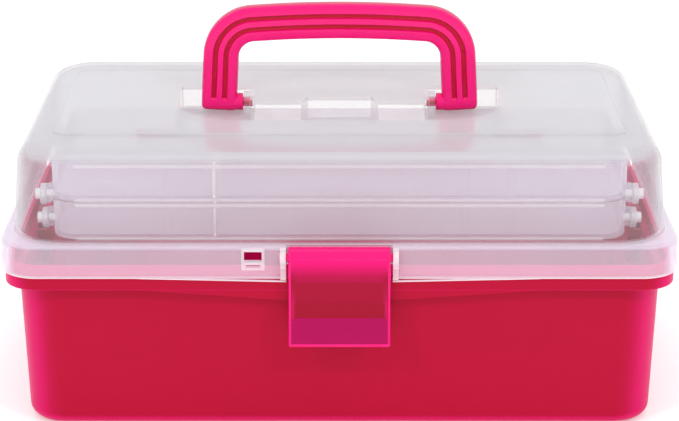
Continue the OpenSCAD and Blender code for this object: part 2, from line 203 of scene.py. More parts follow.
def block(lo, hi, bevel=0.0, segs=2):
    """Box between two corners, its edges softened by bevel."""
    bm = prism([(lo[0], lo[1]), (hi[0], lo[1]), (hi[0], hi[1]), (lo[0], hi[1])], lo[2], hi[2])
    if bevel:
        bmesh.ops.bevel(bm, geom=bm.edges[:], offset=bevel, segments=segs, profile=0.5, affect="EDGES")
    return bm


def rod(x0, x1, centre, r, bevel=0.0, seg=40):
    """Round bar along X with softened ends."""
    bevel = min(bevel, r * 0.6)
    steps = [(x0, r - bevel), (x0 + bevel * 0.3, r - bevel * 0.3), (x0 + bevel, r)] if bevel else [(x0, r)]
    steps += [(x1 - bevel, r), (x1 - bevel * 0.3, r - bevel * 0.3), (x1, r - bevel)] if bevel else [(x1, r)]
    bm = bmesh.new()
    skin(bm, [[Vector((x, centre[0] + q * math.cos(2 * math.pi * k / seg),
                       centre[1] + q * math.sin(2 * math.pi * k / seg))) for k in range(seg)]
              for x, q in steps])
    bmesh.ops.recalc_face_normals(bm, faces=bm.faces)
    return bm


def mirrored(bm):
    """Copy on the other side of the box, in x."""
    out = bm.copy()
    for v in out.verts:
        v.co.x = -v.co.x
    bmesh.ops.reverse_faces(out, faces=out.faces)
    return out


def joined(*parts):
    """Several loose solids as one mesh, for a single boolean."""
    out = bmesh.new()
    for p in parts:
        me = bpy.data.meshes.new("part")
        p.to_mesh(me)
        p.free()
        out.from_mesh(me)
        bpy.data.meshes.remove(me)
    return out


def combine(bm, other, operation):
    """Exact boolean of two meshes; both are used up."""
    obs = []
    for k, b in enumerate((bm, other)):
        me = bpy.data.meshes.new(f"bool{k}")
        b.to_mesh(me)
        b.free()
        ob = bpy.data.objects.new(me.name, me)
        bpy.context.scene.collection.objects.link(ob)
        obs.append(ob)
    mod = obs[0].modifiers.new("bool", "BOOLEAN")
    mod.operation = operation
    mod.solver = "EXACT"
    mod.use_self = True
    mod.object = obs[1]
    bpy.context.view_layer.update()
    result = obs[0].evaluated_get(bpy.context.evaluated_depsgraph_get())
    out = bmesh.new()
    out.from_mesh(result.to_mesh())
    result.to_mesh_clear()
    for ob in obs:
        me = ob.data
        bpy.data.objects.remove(ob)
        bpy.data.meshes.remove(me)
    bmesh.ops.remove_doubles(out, verts=out.verts, dist=2e-6)
    bmesh.ops.dissolve_degenerate(out, edges=out.edges, dist=1e-6)
    return out


def paint(ob, material, chosen):
    """Give one more material to the faces that chosen(centre, normal) picks."""
    ob.data.materials.append(material)
    index = len(ob.data.materials) - 1
    for p in ob.data.polygons:
        if chosen(p.center, p.normal):
            p.material_index = index


# ---------------------------------------------------------------- materials
def plastic(name, colour, rough=0.3, grain=900, grain_depth=0.02, drift=0.04, spec=0.4, sheen=0.0,
            sheen_tint=(1, 1, 1), edge=None, edge_range=(0.1, 0.5), painted_light_above=None, clear=None, top_haze=None,
            scratches=0.25):
    """Moulded plastic: slight colour drift from the mould's flow, fine grain, rubbed patches and hairline
    scratches in the roughness. edge is a colour painted into the base colour where surfaces turn away from
    the view: painted sheen where it is brighter, painted shade where it is darker. fade = (from, to,
    colour) is a second colour painted above a height: painted light on the upper faces. clear = (alpha
    facing, alpha at the edge) makes it see-through, and top_haze is the least alpha of level faces."""
    m = bpy.data.materials.new(name)
    m.use_nodes = True
    nt = m.node_tree
    nodes, links = nt.nodes, nt.links
    nodes.clear()
    out = nodes.new("ShaderNodeOutputMaterial")
    b = nodes.new("ShaderNodeBsdfPrincipled")
    links.new(b.outputs[0], out.inputs[0])
    tc = nodes.new("ShaderNodeTexCoord")

    def noise(scale, detail=3.0, roughness=0.5, squeeze=None):
        src = tc.outputs["Object"]
        if squeeze:
            mp = nodes.new("ShaderNodeMapping")
            mp.inputs["Scale"].default_value = squeeze
            links.new(src, mp.inputs["Vector"])
            src = mp.outputs[0]
        t = nodes.new("ShaderNodeTexNoise")
        t.inputs["Scale"].default_value = scale
        t.inputs["Detail"].default_value = detail
        t.inputs["Roughness"].default_value = roughness
        links.new(src, t.inputs["Vector"])
        return t.outputs["Fac"]

    def ramp(src, a, bb, lo, hi):
        r = nodes.new("ShaderNodeMapRange")
        r.inputs["From Min"].default_value = a
        r.inputs["From Max"].default_value = bb
        r.inputs["To Min"].default_value = lo
        r.inputs["To Max"].default_value = hi
        links.new(src, r.inputs["Value"])
        return r.outputs[0]

    def math_node(op, a, c):
        n = nodes.new("ShaderNodeMath")
        n.operation = op
        for s, v in zip(n.inputs, (a, c)):
            if isinstance(v, (int, float)):
                s.default_value = v
            else:
                links.new(v, s)
        return n.outputs[0]

    # colour: slow drift of the melt plus faint flow streaks
    flow = noise(14, 2.0, 0.5, (1, 1, 2.2))
    streak = noise(60, 4.0, 0.6, (1, 0.25, 1))
    mix = nodes.new("ShaderNodeMix")
    mix.data_type = "RGBA"
    lo = [max(c * (1 - 1.6 * drift), 0) for c in colour]
    hi = [min(c * (1 + 1.2 * drift) + 0.012 * drift, 1) for c in colour]
    mix.inputs["A"].default_value = (*lo, 1)
    mix.inputs["B"].default_value = (*hi, 1)
    links.new(math_node("ADD", math_node("MULTIPLY", flow, 0.65), math_node("MULTIPLY", streak, 0.35)),
              mix.inputs["Factor"])
    tint = mix.outputs["Result"]

    def blend_colour(factor, first, second):
        n = nodes.new("ShaderNodeMix")
        n.data_type = "RGBA"
        links.new(factor, n.inputs["Factor"])
        for key, v in (("A", first), ("B", second)):
            if isinstance(v, tuple):
                n.inputs[key].default_value = (*v, 1)
            else:
                links.new(v, n.inputs[key])
        return n.outputs["Result"]

    def smooth(src, a, bb, lo, hi):
        out_socket = ramp(src, a, bb, lo, hi)
        out_socket.node.interpolation_type = "SMOOTHSTEP"
        return out_socket

    # painted light: a second colour above a height, for the upper faces that catch more light
    if painted_light_above:
        xyz = nodes.new("ShaderNodeSeparateXYZ")
        links.new(tc.outputs["Object"], xyz.inputs[0])
        tint = blend_colour(smooth(xyz.outputs["Z"], painted_light_above[0], painted_light_above[1], 0, 1), tint, painted_light_above[2])
    # painted sheen and shade: the colour turns to edge where surfaces turn away from the view
    if edge:
        lean = nodes.new("ShaderNodeLayerWeight")
        lean.inputs["Blend"].default_value = 0.5
        tint = blend_colour(smooth(lean.outputs["Facing"], edge_range[0], edge_range[1], 0, 1), tint, edge)
    links.new(tint, b.inputs["Base Color"])
    b.inputs["Specular IOR Level"].default_value = spec
    # roughness: rubbed patches and hairline scratches
    rub = ramp(noise(22, 5.0, 0.6), 0.35, 0.75, rough * 0.82, rough * 1.28)
    hair = ramp(noise(420, 2.0, 0.4, (0.05, 1, 1)), 0.68, 0.74, 0, scratches * 0.5)
    links.new(math_node("ADD", rub, hair), b.inputs["Roughness"])
    # moulded grain and a very slow sink-mark waviness
    bump = nodes.new("ShaderNodeBump")
    bump.inputs["Strength"].default_value = grain_depth
    bump.inputs["Distance"].default_value = 0.0006
    links.new(noise(grain, 2.0, 0.5), bump.inputs["Height"])
    wave = nodes.new("ShaderNodeBump")
    wave.inputs["Strength"].default_value = 0.10
    wave.inputs["Distance"].default_value = 0.0008
    links.new(noise(16, 1.0, 0.4), wave.inputs["Height"])
    links.new(bump.outputs[0], wave.inputs["Normal"])
    links.new(wave.outputs[0], b.inputs["Normal"])
    b.inputs["IOR"].default_value = 1.49
    if sheen:
        b.inputs["Sheen Weight"].default_value = sheen
        b.inputs["Sheen Roughness"].default_value = 0.35
        b.inputs["Sheen Tint"].default_value = (*sheen_tint, 1)
    if clear:
        lw = nodes.new("ShaderNodeLayerWeight")
        lw.inputs["Blend"].default_value = 0.5
        links.new(wave.outputs[0], lw.inputs["Normal"])
        a = smooth(lw.outputs["Facing"], 0.30, 0.92, clear[0], clear[1])
        if top_haze:
            up = nodes.new("ShaderNodeSeparateXYZ")
            links.new(tc.outputs["Normal"], up.inputs[0])
            level = math_node("ABSOLUTE", up.outputs["Z"], 0.0)
            a = math_node("MAXIMUM", a, smooth(level, 0.3, 0.98, 0, top_haze))
        haze = ramp(noise(34, 3.0, 0.5), 0.3, 0.75, -0.008, 0.012)
        total = math_node("ADD", a, haze)
        total.node.use_clamp = True
        links.new(total, b.inputs["Alpha"])
        # milky plastic scatters light on instead of stopping it
        path = nodes.new("ShaderNodeLightPath")
        through = nodes.new("ShaderNodeBsdfTransparent")
        both = nodes.new("ShaderNodeMixShader")
        links.new(math_node("MULTIPLY", math_node("MAXIMUM", path.outputs["Is Shadow Ray"],
                                                  path.outputs["Is Diffuse Ray"]), 0.7), both.inputs[0])
        links.new(b.outputs[0], both.inputs[1])
        links.new(through.outputs[0], both.inputs[2])
        links.new(both.outputs[0], out.inputs[0])
    return m


def srgb(r, g, b):
    """Linear colour of an sRGB one from 0 to 255."""
    return tuple(((c / 255) / 12.92 if c <= 10 else (((c / 255) + 0.055) / 1.055) ** 2.4) for c in (r, g, b))


# painted sheen: a brighter magenta mixed in where the tub's surfaces turn away, at its corners and foot
pink_tub = plastic("tub_pink", srgb(179, 5, 50), rough=0.36, grain=1400, grain_depth=0.05, drift=0.03,
                   edge=srgb(214, 4, 96), edge_range=(0.09, 0.42), spec=0.12, sheen=0.06,
                   sheen_tint=(1.0, 0.1, 0.5))
# painted shade: a darker pink mixed in where the handle's surfaces turn away from the view
pink_handle = plastic("handle_pink", srgb(246, 16, 122), rough=0.17, grain=1400, grain_depth=0.03, drift=0.03,
                      edge=srgb(214, 14, 92), edge_range=(0.25, 0.8), spec=0.3)
# painted shade: the handle's grooves in a darker crimson than the handle
pink_groove_shade = plastic("groove_pink", srgb(190, 8, 46), rough=0.3, grain=1400, grain_depth=0.03, drift=0.03,
                      spec=0.2)
pink_latch = plastic("latch_pink", srgb(236, 12, 118), rough=0.2, grain=1400, grain_depth=0.03, drift=0.03,
                     spec=0.25)
# painted shade: the latch's sunken face, a darker copy of the latch pink; it turns back to the latch pink as
# painted sheen near the rims and as painted light from 82 to 93 mm up
pink_panel_shaded = plastic("latch_panel_pink", srgb(158, 5, 42), rough=0.2, grain=1400, grain_depth=0.03,
                     drift=0.03, edge=srgb(236, 12, 118), edge_range=(0.078, 0.26), spec=0.14,
                     painted_light_above=(82 * mm, 93 * mm, srgb(236, 12, 118)))
# painted shade and painted reflection: the lip in a darker copy of the latch pink, less dark and purpler for
# the light it catches from above, with painted sheen where it turns away
pink_lip_shaded = plastic("latch_lip_pink", srgb(172, 8, 84), rough=0.2, grain=1400, grain_depth=0.03, drift=0.03,
                   edge=srgb(236, 12, 118), edge_range=(0.05, 0.3), spec=0.14)
# painted light: the tub's inside and thin lip in a brighter magenta, for light that comes through the pink
# plastic
pink_inside_lit = plastic("tub_inside_pink", srgb(208, 10, 102), rough=0.4, grain=1400, grain_depth=0.04,
                      drift=0.03, spec=0.14)
clear_lid = plastic("lid_clear", (0.60, 0.595, 0.635), rough=0.12, grain=1100, grain_depth=0.02, drift=0.02,
                    clear=(0.12, 0.62), top_haze=0.6, spec=0.5)
frosted_skirt = plastic("lid_frosted", (0.87, 0.81, 0.95), rough=0.3, grain=1300, grain_depth=0.08,
                        drift=0.02, clear=(0.25, 0.75), top_haze=0.42, spec=0.45)
# painted highlight: whiter, more opaque plastic on the lid's thin edges and the trays' front beads
edge_highlight = plastic("lid_edge", (0.92, 0.88, 0.93), rough=0.25, grain=1300, grain_depth=0.05, drift=0.02,
                      clear=(0.5, 0.92), spec=0.45)
clear_tray = plastic("tray_clear", (0.76, 0.69, 0.81), rough=0.22, grain=1100, grain_depth=0.03, drift=0.02,
                     clear=(0.25, 0.78), spec=0.4)
clear_divider = plastic("divider_clear", (0.98, 0.96, 0.98), rough=0.2, grain=1100, grain_depth=0.03,
                        drift=0.02, clear=(0.9, 0.97), spec=0.4)
milky_arm = plastic("arm_milky", (0.74, 0.70, 0.76), rough=0.38, grain=1200, grain_depth=0.05, drift=0.03,
                    clear=(0.62, 0.95), spec=0.4)
milky_pin = plastic("pin_milky", (0.78, 0.77, 0.80), rough=0.35, grain=1500, grain_depth=0.04, drift=0.03)


def steel(name):
    """Drawn wire of the hinge pins."""
    m = plastic(name, (0.58, 0.58, 0.6), rough=0.3, grain=2500, grain_depth=0.05, drift=0.05, scratches=0.6)
    m.node_tree.nodes["Principled BSDF"].inputs["Metallic"].default_value = 1.0
    return m


wire = steel("pin_wire")

# ---------------------------------------------------------------- sizes from the frame
rim_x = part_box("lid_skirt")[1].x                  # half width over the skirt
rim_y = rim_x * 100 / 165                         # half depth over the skirt
hinge_y, hinge_z = pivot("lid_hinge")
latch_y, latch_z = pivot("latch_hinge")
handle_y, handle_z = pivot("handle_hinge")
skirt_z = 81.1 * mm                               # lower edge of the skirt at the sides
skirt_dip = 1.6 * mm                              # how far it dips beside the latch
dip_from = 97 * mm                                # where the dip starts, in x
notch = 25.7 * mm                                 # half width of the skirt's notch for the latch
flange_z = 74.5 * mm                              # lower edge of the tub's flange
rim_r = 19 * mm                                   # corner radius of the skirt in plan
ledge_z = 97 * mm                                 # top of the ledge round the dome
panel_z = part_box("lid_top")[1].z                  # top of the raised panel
dome_z = panel_z - 1.3 * mm                       # top of the roof round the panel
well_z = dome_z - 10.2 * mm                       # floor of the handle well
lip_z = 86.5 * mm                                 # top of the tub's lip, inside the skirt
lip_x, lip_y = rim_x - 3.6 * mm, rim_y - 3.6 * mm
flange_x, flange_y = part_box("base_tub")[1].x, rim_y - 1.4 * mm
body_x, body_y = rim_x - 6.8 * mm, rim_y - 6.7 * mm
dome_x, dome_y = rim_x - 5 * mm, rim_y - 6 * mm
hinge_r = 4 * mm                                  # barrels and posts of the rear hinge
hinge_lo, hinge_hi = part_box("hinge_pin_right")
hinge_x, hinge_half = (hinge_lo.x + hinge_hi.x) / 2, (hinge_hi.x - hinge_lo.x) / 2
arm_foot, arm_mid, arm_top = (pivot(n + "_hinge") for n in ("long_arm", "lower_tray", "upper_tray"))
fore_foot = pivot("short_arm_hinge")
fore_top = (fore_foot[0] + arm_mid[0] - arm_foot[0], fore_foot[1] + arm_mid[1] - arm_foot[1])
lid_post = (hinge_y + arm_top[0] - arm_foot[0], hinge_z + arm_top[1] - arm_foot[1])


# ---------------------------------------------------------------- tub
def build_tub():
    """Tub with its flange and lip, the apron behind the latch, the arm ears and the hinge posts."""
    t, lip_t, floor, draft = 2.0 * mm, 2.2 * mm, 2.2 * mm, 2.6 * mm
    shoulder, flange_top = 78.5 * mm, 80.7 * mm
    body = plan(body_x, body_y, 22 * mm)
    edge = plan(flange_x, flange_y, rim_r - 1.4 * mm)
    lip = plan(lip_x, lip_y, rim_r - 3.6 * mm)
    keys = [body(-draft - 15 * mm, 0.6 * mm), body(-draft - 13 * mm, 0.0), body(-draft, 0.0),
            body(0, shoulder), edge(-t, shoulder), edge(-t, flange_z), edge(0, flange_z),
            edge(0, flange_top), lip(0, flange_top), lip(0, lip_z), lip(-lip_t, lip_z),
            lip(-lip_t, 80.5 * mm), body(-t, shoulder),
            body(-draft - t, floor), body(-draft - t - 15 * mm, floor)]
    radii = [v * mm for v in (0, 0.5, 6, 0.6, 0.6, 0.5, 0.7, 1.1, 0.6, 0.7, 0.7, 0.9, 1.0, 4, 0)]
    bm = shell(keys, radii, seg=14, n=6)
    # apron under the latch, leaning in towards its lower edge
    y, low, high, near = -flange_y + 0.03 * mm, 69.3 * mm, 78 * mm, 27 * mm
    outline = [(near, low), (dip_from, flange_z), (dip_from, high), (-dip_from, high), (-dip_from, flange_z),
               (-near, low)]
    apron = bmesh.new()
    lean = math.tan(math.radians(7.2))
    skin(apron, [[Vector((x, y + (high - z) * lean, z)) for x, z in outline],
                 [Vector((x, y + 2.6 * mm, z)) for x, z in outline]])
    bmesh.ops.recalc_face_normals(apron, faces=apron.faces)
    extra = [apron]
    extra += [block((x * mm - 0.8 * mm, -flange_y + 1.6 * mm, 70 * mm),
                    (x * mm + 0.8 * mm, -body_y + 1 * mm, 79 * mm)) for x in (-20, 0, 20)]
    # ears that carry the arms
    rear, fore = arm_foot, fore_foot
    x0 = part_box("long_arm_right")[1].x + 0.6 * mm
    foot, out = 60 * mm, 6 * mm
    outline = [(fore[0] - out, foot), (rear[0] + out, foot), (rear[0] + out, rear[1] + out),
               (rear[0] - 4 * mm, rear[1] + out), (fore[0] + 4 * mm, fore[1] + out),
               (fore[0] - out, fore[1] + out)]
    ear_2d = closed_rounded(outline, [1 * mm, 1 * mm, 5.8 * mm, 3 * mm, 3 * mm, 5.8 * mm], 8)
    ear_t = 2.6 * mm
    for side in (1, -1):
        ear = prism(ear_2d, x0, x0 + ear_t, "X")
        bmesh.ops.bevel(ear, geom=[e for e in ear.edges if e.calc_face_angle(0) > 1.2], offset=0.35 * mm,
                        segments=2, affect="EDGES")
        webs = [block((x0 + 2.2 * mm, yy, foot + 0.4 * mm), (body_x - 0.8 * mm, yy + 2 * mm, 78 * mm))
                for yy in (fore[0] - out, (fore[0] + rear[0]) / 2 - 1 * mm, rear[0] + 4 * mm)]
        group = joined(ear, *webs)
        extra.append(mirrored(group) if side < 0 else group)
    # hinge posts
    r = hinge_r
    side_2d = closed_rounded(
        [(hinge_y - 3.8 * mm, flange_z), (hinge_y + 3.8 * mm, flange_z),
         (hinge_y + r - 0.01 * mm, hinge_z + r), (hinge_y - r, hinge_z + r)],
        [1.5 * mm, 3 * mm, r * 0.98, r * 0.98], 8)
    for s in (-1, 1):
        for k in (-1, 1):
            c = s * hinge_x + k * (hinge_half - r)
            post = prism(side_2d, c - r, c + r, "X")
            bmesh.ops.bevel(post, geom=[e for e in post.edges if e.calc_face_angle(0) > 1.2],
                            offset=0.4 * mm, segments=2, affect="EDGES")
            extra += [post, block((c - r, body_y - 1 * mm, flange_z), (c + r, hinge_y, shoulder))]
    bm = combine(bm, joined(*extra), "UNION")
    ob = finish_mesh("tub", bm, "base", pink_tub, ["base_tub"])

    def painted_lit_faces(c, n):
        """The inside and the thin lip, which get a painted light in a brighter magenta."""
        inside = abs(c.x) < body_x and abs(c.y) < body_y
        inward = inside and n.x * c.x / body_x + n.y * c.y / body_y < -0.05
        return inward or (n.z > 0.9 and c.z < 4 * mm) or c.z > flange_top + 0.2 * mm

    # painted light on the inside and the lip
    paint(ob, pink_inside_lit, painted_lit_faces)


# ---------------------------------------------------------------- lid
def well_outline(grow, seg=10):
    """Plan of the sunken well: a rounded U round the island."""
    half, front, back = 83 * mm + grow, -34 * mm - grow, 31 * mm + grow
    isl, face = 46.5 * mm - grow, 2 * mm + grow
    scoop, deep = 16 * mm + grow, 8 * mm
    pts = [(-half, back), (-half, front), (half, front), (half, back), (isl, back), (isl, face),
           (scoop + 2.5 * mm, face), (scoop, face + deep), (-scoop, face + deep), (-scoop - 2.5 * mm, face),
           (-isl, face), (-isl, back)]
    rr = [3 * mm, 34 * mm + grow, 34 * mm + grow, 3 * mm, 1.2 * mm, 1.4 * mm, 1.6 * mm, 2.6 * mm, 2.6 * mm,
          1.6 * mm, 1.4 * mm, 1.2 * mm]
    return closed_rounded(pts, rr, seg)


def build_lid():
    """Domed lid in one moulding: skirt, ledge, walls, roof with panel and well, lugs, posts and barrels."""
    t, draft, sk = 1.8 * mm, 3.2 * mm, 2.2 * mm      # wall, slope of the walls, skirt
    back_cut = 72 * mm, 88.6 * mm                    # (y, z) from where the skirt is cut away at the rear
    cheek = notch + 2.7 * mm                         # outer face of the latch cheeks
    dome = plan(dome_x, dome_y, 27 * mm)
    rim = plan(rim_x, rim_y, rim_r)
    keys = [dome(-draft - 20 * mm, dome_z), dome(-draft - 19 * mm, dome_z), dome(-draft, dome_z),
            dome(0, ledge_z), rim(0, ledge_z), rim(0, skirt_z + 0.6 * mm), rim(0, skirt_z),
            rim(-sk, skirt_z), rim(-sk, ledge_z - t), dome(-t, ledge_z - t),
            dome(-t, ledge_z + 1 * mm), dome(-draft - t, dome_z - t),
            dome(-draft - 20 * mm, dome_z - t)]
    radii = [v * mm for v in (0, 0, 9, 1.4, 1.9, 0, 0.4, 0.5, 0.8, 0.8, 0.3, 7.6, 0)]
    bm = shell(keys, radii, seg=16, n=8)
    panel = shell([(138 * mm, 57 * mm, 5 * mm, dome_z - 1 * mm), (142 * mm, 61 * mm, 8 * mm, dome_z - 1 * mm),
                   (142 * mm, 61 * mm, 8 * mm, dome_z + 0.1 * mm), (141 * mm, 60 * mm, 7 * mm, panel_z),
                   (135 * mm, 54 * mm, 5 * mm, panel_z)], [0, 0, 0.4 * mm, 0.6 * mm, 0], 3 * mm, 8, 4)
    bm = combine(bm, joined(panel, prism(well_outline(t), well_z - t, dome_z - 0.6 * mm)), "UNION")
    bm = combine(bm, joined(
        prism(well_outline(0.0), well_z, panel_z + 2 * mm),
        block((-notch, -rim_y - 3 * mm, skirt_z - 1 * mm), (notch, -dome_y - 1.4 * mm, ledge_z + 3 * mm)),
        block((-rim_x - 1 * mm, back_cut[0], skirt_z - 1 * mm),
              (rim_x + 1 * mm, rim_y + 12 * mm, back_cut[1])),
    ), "DIFFERENCE")
    loop_lo, loop_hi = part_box("padlock_loop")
    extra = [block((-cheek, -dome_y - 1.4 * mm, 87 * mm), (cheek, -dome_y, 96 * mm), 0.2 * mm),
             block(loop_lo, (loop_hi.x, -rim_y + 2.4 * mm, loop_hi.z - 0.02 * mm), 0.3 * mm)]
    cuts = [block((loop_lo.x + side, -rim_y - 2 * mm, z0), (loop_hi.x - side, -rim_y + 3 * mm, z1))
            for side, z0, z1 in ((1.3 * mm, 90 * mm, 95.2 * mm), (2.1 * mm, 87 * mm, 88.6 * mm))]
    x0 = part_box("upper_tray")[1].x + 0.5 * mm
    post_end, bore_end = 157 * mm, 154 * mm          # ends of a tray post and of its blind bore, in x
    lug, lug_in, lug_out = 4.5 * mm, 45.6 * mm, 50.2 * mm
    lug_2d = closed_rounded([(handle_y - lug, well_z - 0.5 * mm), (handle_y + lug, well_z - 0.5 * mm),
                             (handle_y + lug, dome_z), (handle_y - lug, dome_z)],
                            [0, 0, 2.2 * mm, 2.2 * mm], 5)
    cheek_2d = closed_rounded([(latch_y - 0.6 * mm, skirt_z), (latch_y + 2.6 * mm, skirt_z),
                               (latch_y + 2.6 * mm, latch_z - 1 * mm), (latch_y + 5 * mm, latch_z - 1 * mm),
                               (latch_y + 5 * mm, latch_z + 4.2 * mm),
                               (latch_y - 4.2 * mm, latch_z + 4.4 * mm),
                               (latch_y - 4.2 * mm, latch_z - 3 * mm),
                               (latch_y - 0.6 * mm, latch_z - 6 * mm)],
                              [0.3 * mm, 0.3 * mm, 0, 0, 0.6 * mm, 4 * mm, 2.5 * mm, 2 * mm], 6)
    barrel_back, barrel, bore = hinge_y + hinge_r - 0.02 * mm, 12 * mm, 14 * mm
    barrel_2d = closed_rounded([(rim_y - 1 * mm, hinge_z), (hinge_y - 3.9 * mm, hinge_z),
                                (hinge_y - 3.6 * mm, hinge_z - hinge_r), (barrel_back, hinge_z - hinge_r),
                                (barrel_back, hinge_z + hinge_r), (rim_y - 1 * mm, hinge_z + hinge_r)],
                               [0, 0.2 * mm, 3 * mm, 3.9 * mm, 3.9 * mm, 0], 8)
    for s in (-1, 1):
        xs = sorted((s * lug_in, s * lug_out))
        extra.append(prism(lug_2d, xs[0], xs[1], "X"))
        cuts.append(rod(xs[0] - 3 * mm, xs[1] + 3 * mm, (handle_y, handle_z), 2.6 * mm, seg=32))
        xs = sorted((s * x0, s * post_end))
        extra.append(rod(xs[0], xs[1], lid_post, 5.2 * mm, 0.3 * mm, seg=40))
        xs = sorted((s * (x0 - 1 * mm), s * bore_end))
        cuts.append(rod(xs[0], xs[1], lid_post, 2.08 * mm, seg=32))
        xs = sorted((s * notch, s * cheek))
        extra.append(prism(cheek_2d, xs[0], xs[1], "X"))
        cuts.append(rod(xs[0] - 1 * mm, xs[1], (latch_y, latch_z), 1.98 * mm, seg=28))
        extra.append(prism(barrel_2d, s * hinge_x - barrel, s * hinge_x + barrel, "X"))
        cuts.append(rod(s * hinge_x - bore, s * hinge_x + bore, (hinge_y, hinge_z), 1.58 * mm, seg=28))
        # the skirt's lower edge dips towards the latch
        low = [(notch, skirt_z - skirt_dip), (dip_from, skirt_z), (dip_from, skirt_z + 0.6 * mm),
               (notch, skirt_z - skirt_dip + 0.6 * mm)]
        dip = prism(low, -rim_y, -rim_y + 1.05 * mm, "Y")
        extra.append(mirrored(dip) if s < 0 else dip)
    bm = combine(bm, joined(*extra), "UNION")
    bm = combine(bm, joined(*cuts), "DIFFERENCE")
    ob = finish_mesh("lid", bm, "lid", clear_lid,
                     ["lid_skirt", "lid_walls", "lid_top", "lid_well", "padlock_loop"])

    def outer(c, _=None):
        """The frosted ledge and skirt."""
        return c.z < ledge_z + 0.3 * mm

    def thin(c, _):
        """Their thin edges, which get a painted highlight."""
        on_loop = c.y < -rim_y - 0.05 * mm and loop_lo.x < c.x < loop_hi.x
        on_cheek = notch - 0.1 * mm < abs(c.x) < cheek + 0.1 * mm and c.y < -dome_y - 1.5 * mm
        dip = min(max((dip_from - abs(c.x)) / (dip_from - notch), 0), 1) if c.y < -rim_y + 1.2 * mm else 0
        low_edge = c.z < skirt_z + 0.56 * mm - skirt_dip * dip
        return outer(c) and (on_loop or on_cheek or low_edge)

    paint(ob, frosted_skirt, outer)
    # painted highlight on the thin edges
    paint(ob, edge_highlight, thin)


# ---------------------------------------------------------------- handle
def build_handle():
    """Folding U handle: one section swept up a leg, round the corners and along the arch."""
    lo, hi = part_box("handle")
    w, top = hi.x, hi.z
    t = (hi.y - lo.y) / 2
    half, crown, deep = 9.25 * mm, 1.6 * mm, 1.3 * mm    # half width, rise of the arch, depth of the grooves
    stub_in, pad_in, ends_out = 45.8 * mm, 50.7 * mm, 58 * mm
    # centre line of the right half: up the leaning leg, round the corner, along the slight arch
    outer = 27 * mm
    cx, cz, r = w - crown - outer, top - crown - outer, outer - half
    foot = Vector((w - half, handle_z - t))
    turn = Vector((cx + r, cz))
    up = (turn - foot).normalized()
    path = [(foot + up * d * mm, up, d * mm)
            for d in (0, 0.35, 0.9, 1.7, 2.8, 4.5, 6.3, 6.8, 7.4, 8.2, 14, 20)]
    for k in range(15):
        a = math.radians(88) * k / 14
        path.append((Vector((cx + r * math.cos(a), cz + r * math.sin(a))),
                     Vector((-math.sin(a), math.cos(a))), 1.0))
    for k in range(1, 7):
        x = cx * (1 - k / 6)
        path.append((Vector((x, cz + r + crown * (1 - (x / cx) ** 2))),
                     Vector((-1, 2 * crown * x / cx ** 2)).normalized(), 1.0))
    path += [(Vector((-p.x, p.y)), Vector((d.x, -d.y)), s) for p, d, s in reversed(path[:-1])]
    rings = []
    for p, d, along in path:
        out = Vector((d.y, -d.x))                        # towards the outer edge
        k = math.sqrt(max(1 - (max(t - along, 0) / t) ** 2, 0.004))
        squeeze = 1 - 2.2 * mm / half * (1 - k)
        sink = deep * min(max((along - 6.5 * mm) / (0.8 * mm), 0), 1)
        g = [(half, 0.0), (half, t - 2.0 * mm), (half - 0.5 * mm, t - 0.7 * mm), (half - 1.7 * mm, t)]
        for c0 in (2.85 * mm, -2.7 * mm):
            g += [(c0 + 1.45 * mm, t), (c0 + 1.2 * mm, t - sink * 0.2), (c0 + 0.95 * mm, t - sink),
                  (c0 - 0.95 * mm, t - sink), (c0 - 1.2 * mm, t - sink * 0.2), (c0 - 1.45 * mm, t)]
        g += [(-half + 1.7 * mm, t), (-half + 0.5 * mm, t - 0.7 * mm), (-half, t - 2.0 * mm)]
        sect = g + [(-half, 0.0)] + [(u, -v) for u, v in reversed(g[1:])]
        rings.append([Vector((p.x + out.x * u * squeeze, handle_y - v * k, p.y + out.y * u * squeeze))
                      for u, v in sect])
    bm = bmesh.new()
    skin(bm, rings)
    bmesh.ops.recalc_face_normals(bm, faces=bm.faces)
    ends = []
    for s in (-1, 1):
        xs = sorted((s * pad_in, s * ends_out))
        ends.append(rod(xs[0], xs[1], (handle_y, handle_z), t - 0.05 * mm, 0.4 * mm, 48))
        xs = sorted((s * stub_in, s * ends_out))
        ends.append(rod(xs[0], xs[1], (handle_y, handle_z), 2.5 * mm, 0.4 * mm, 32))
    bm = combine(bm, joined(*ends), "UNION")
    ob = finish_mesh("handle_grip", bm, "handle", pink_handle, ["handle"], angle=38)
    # painted shade in the grooves
    paint(ob, pink_groove_shade, lambda c, n: abs(n.y) > 0.9 and abs(c.y - handle_y) < t - 0.3 * mm)


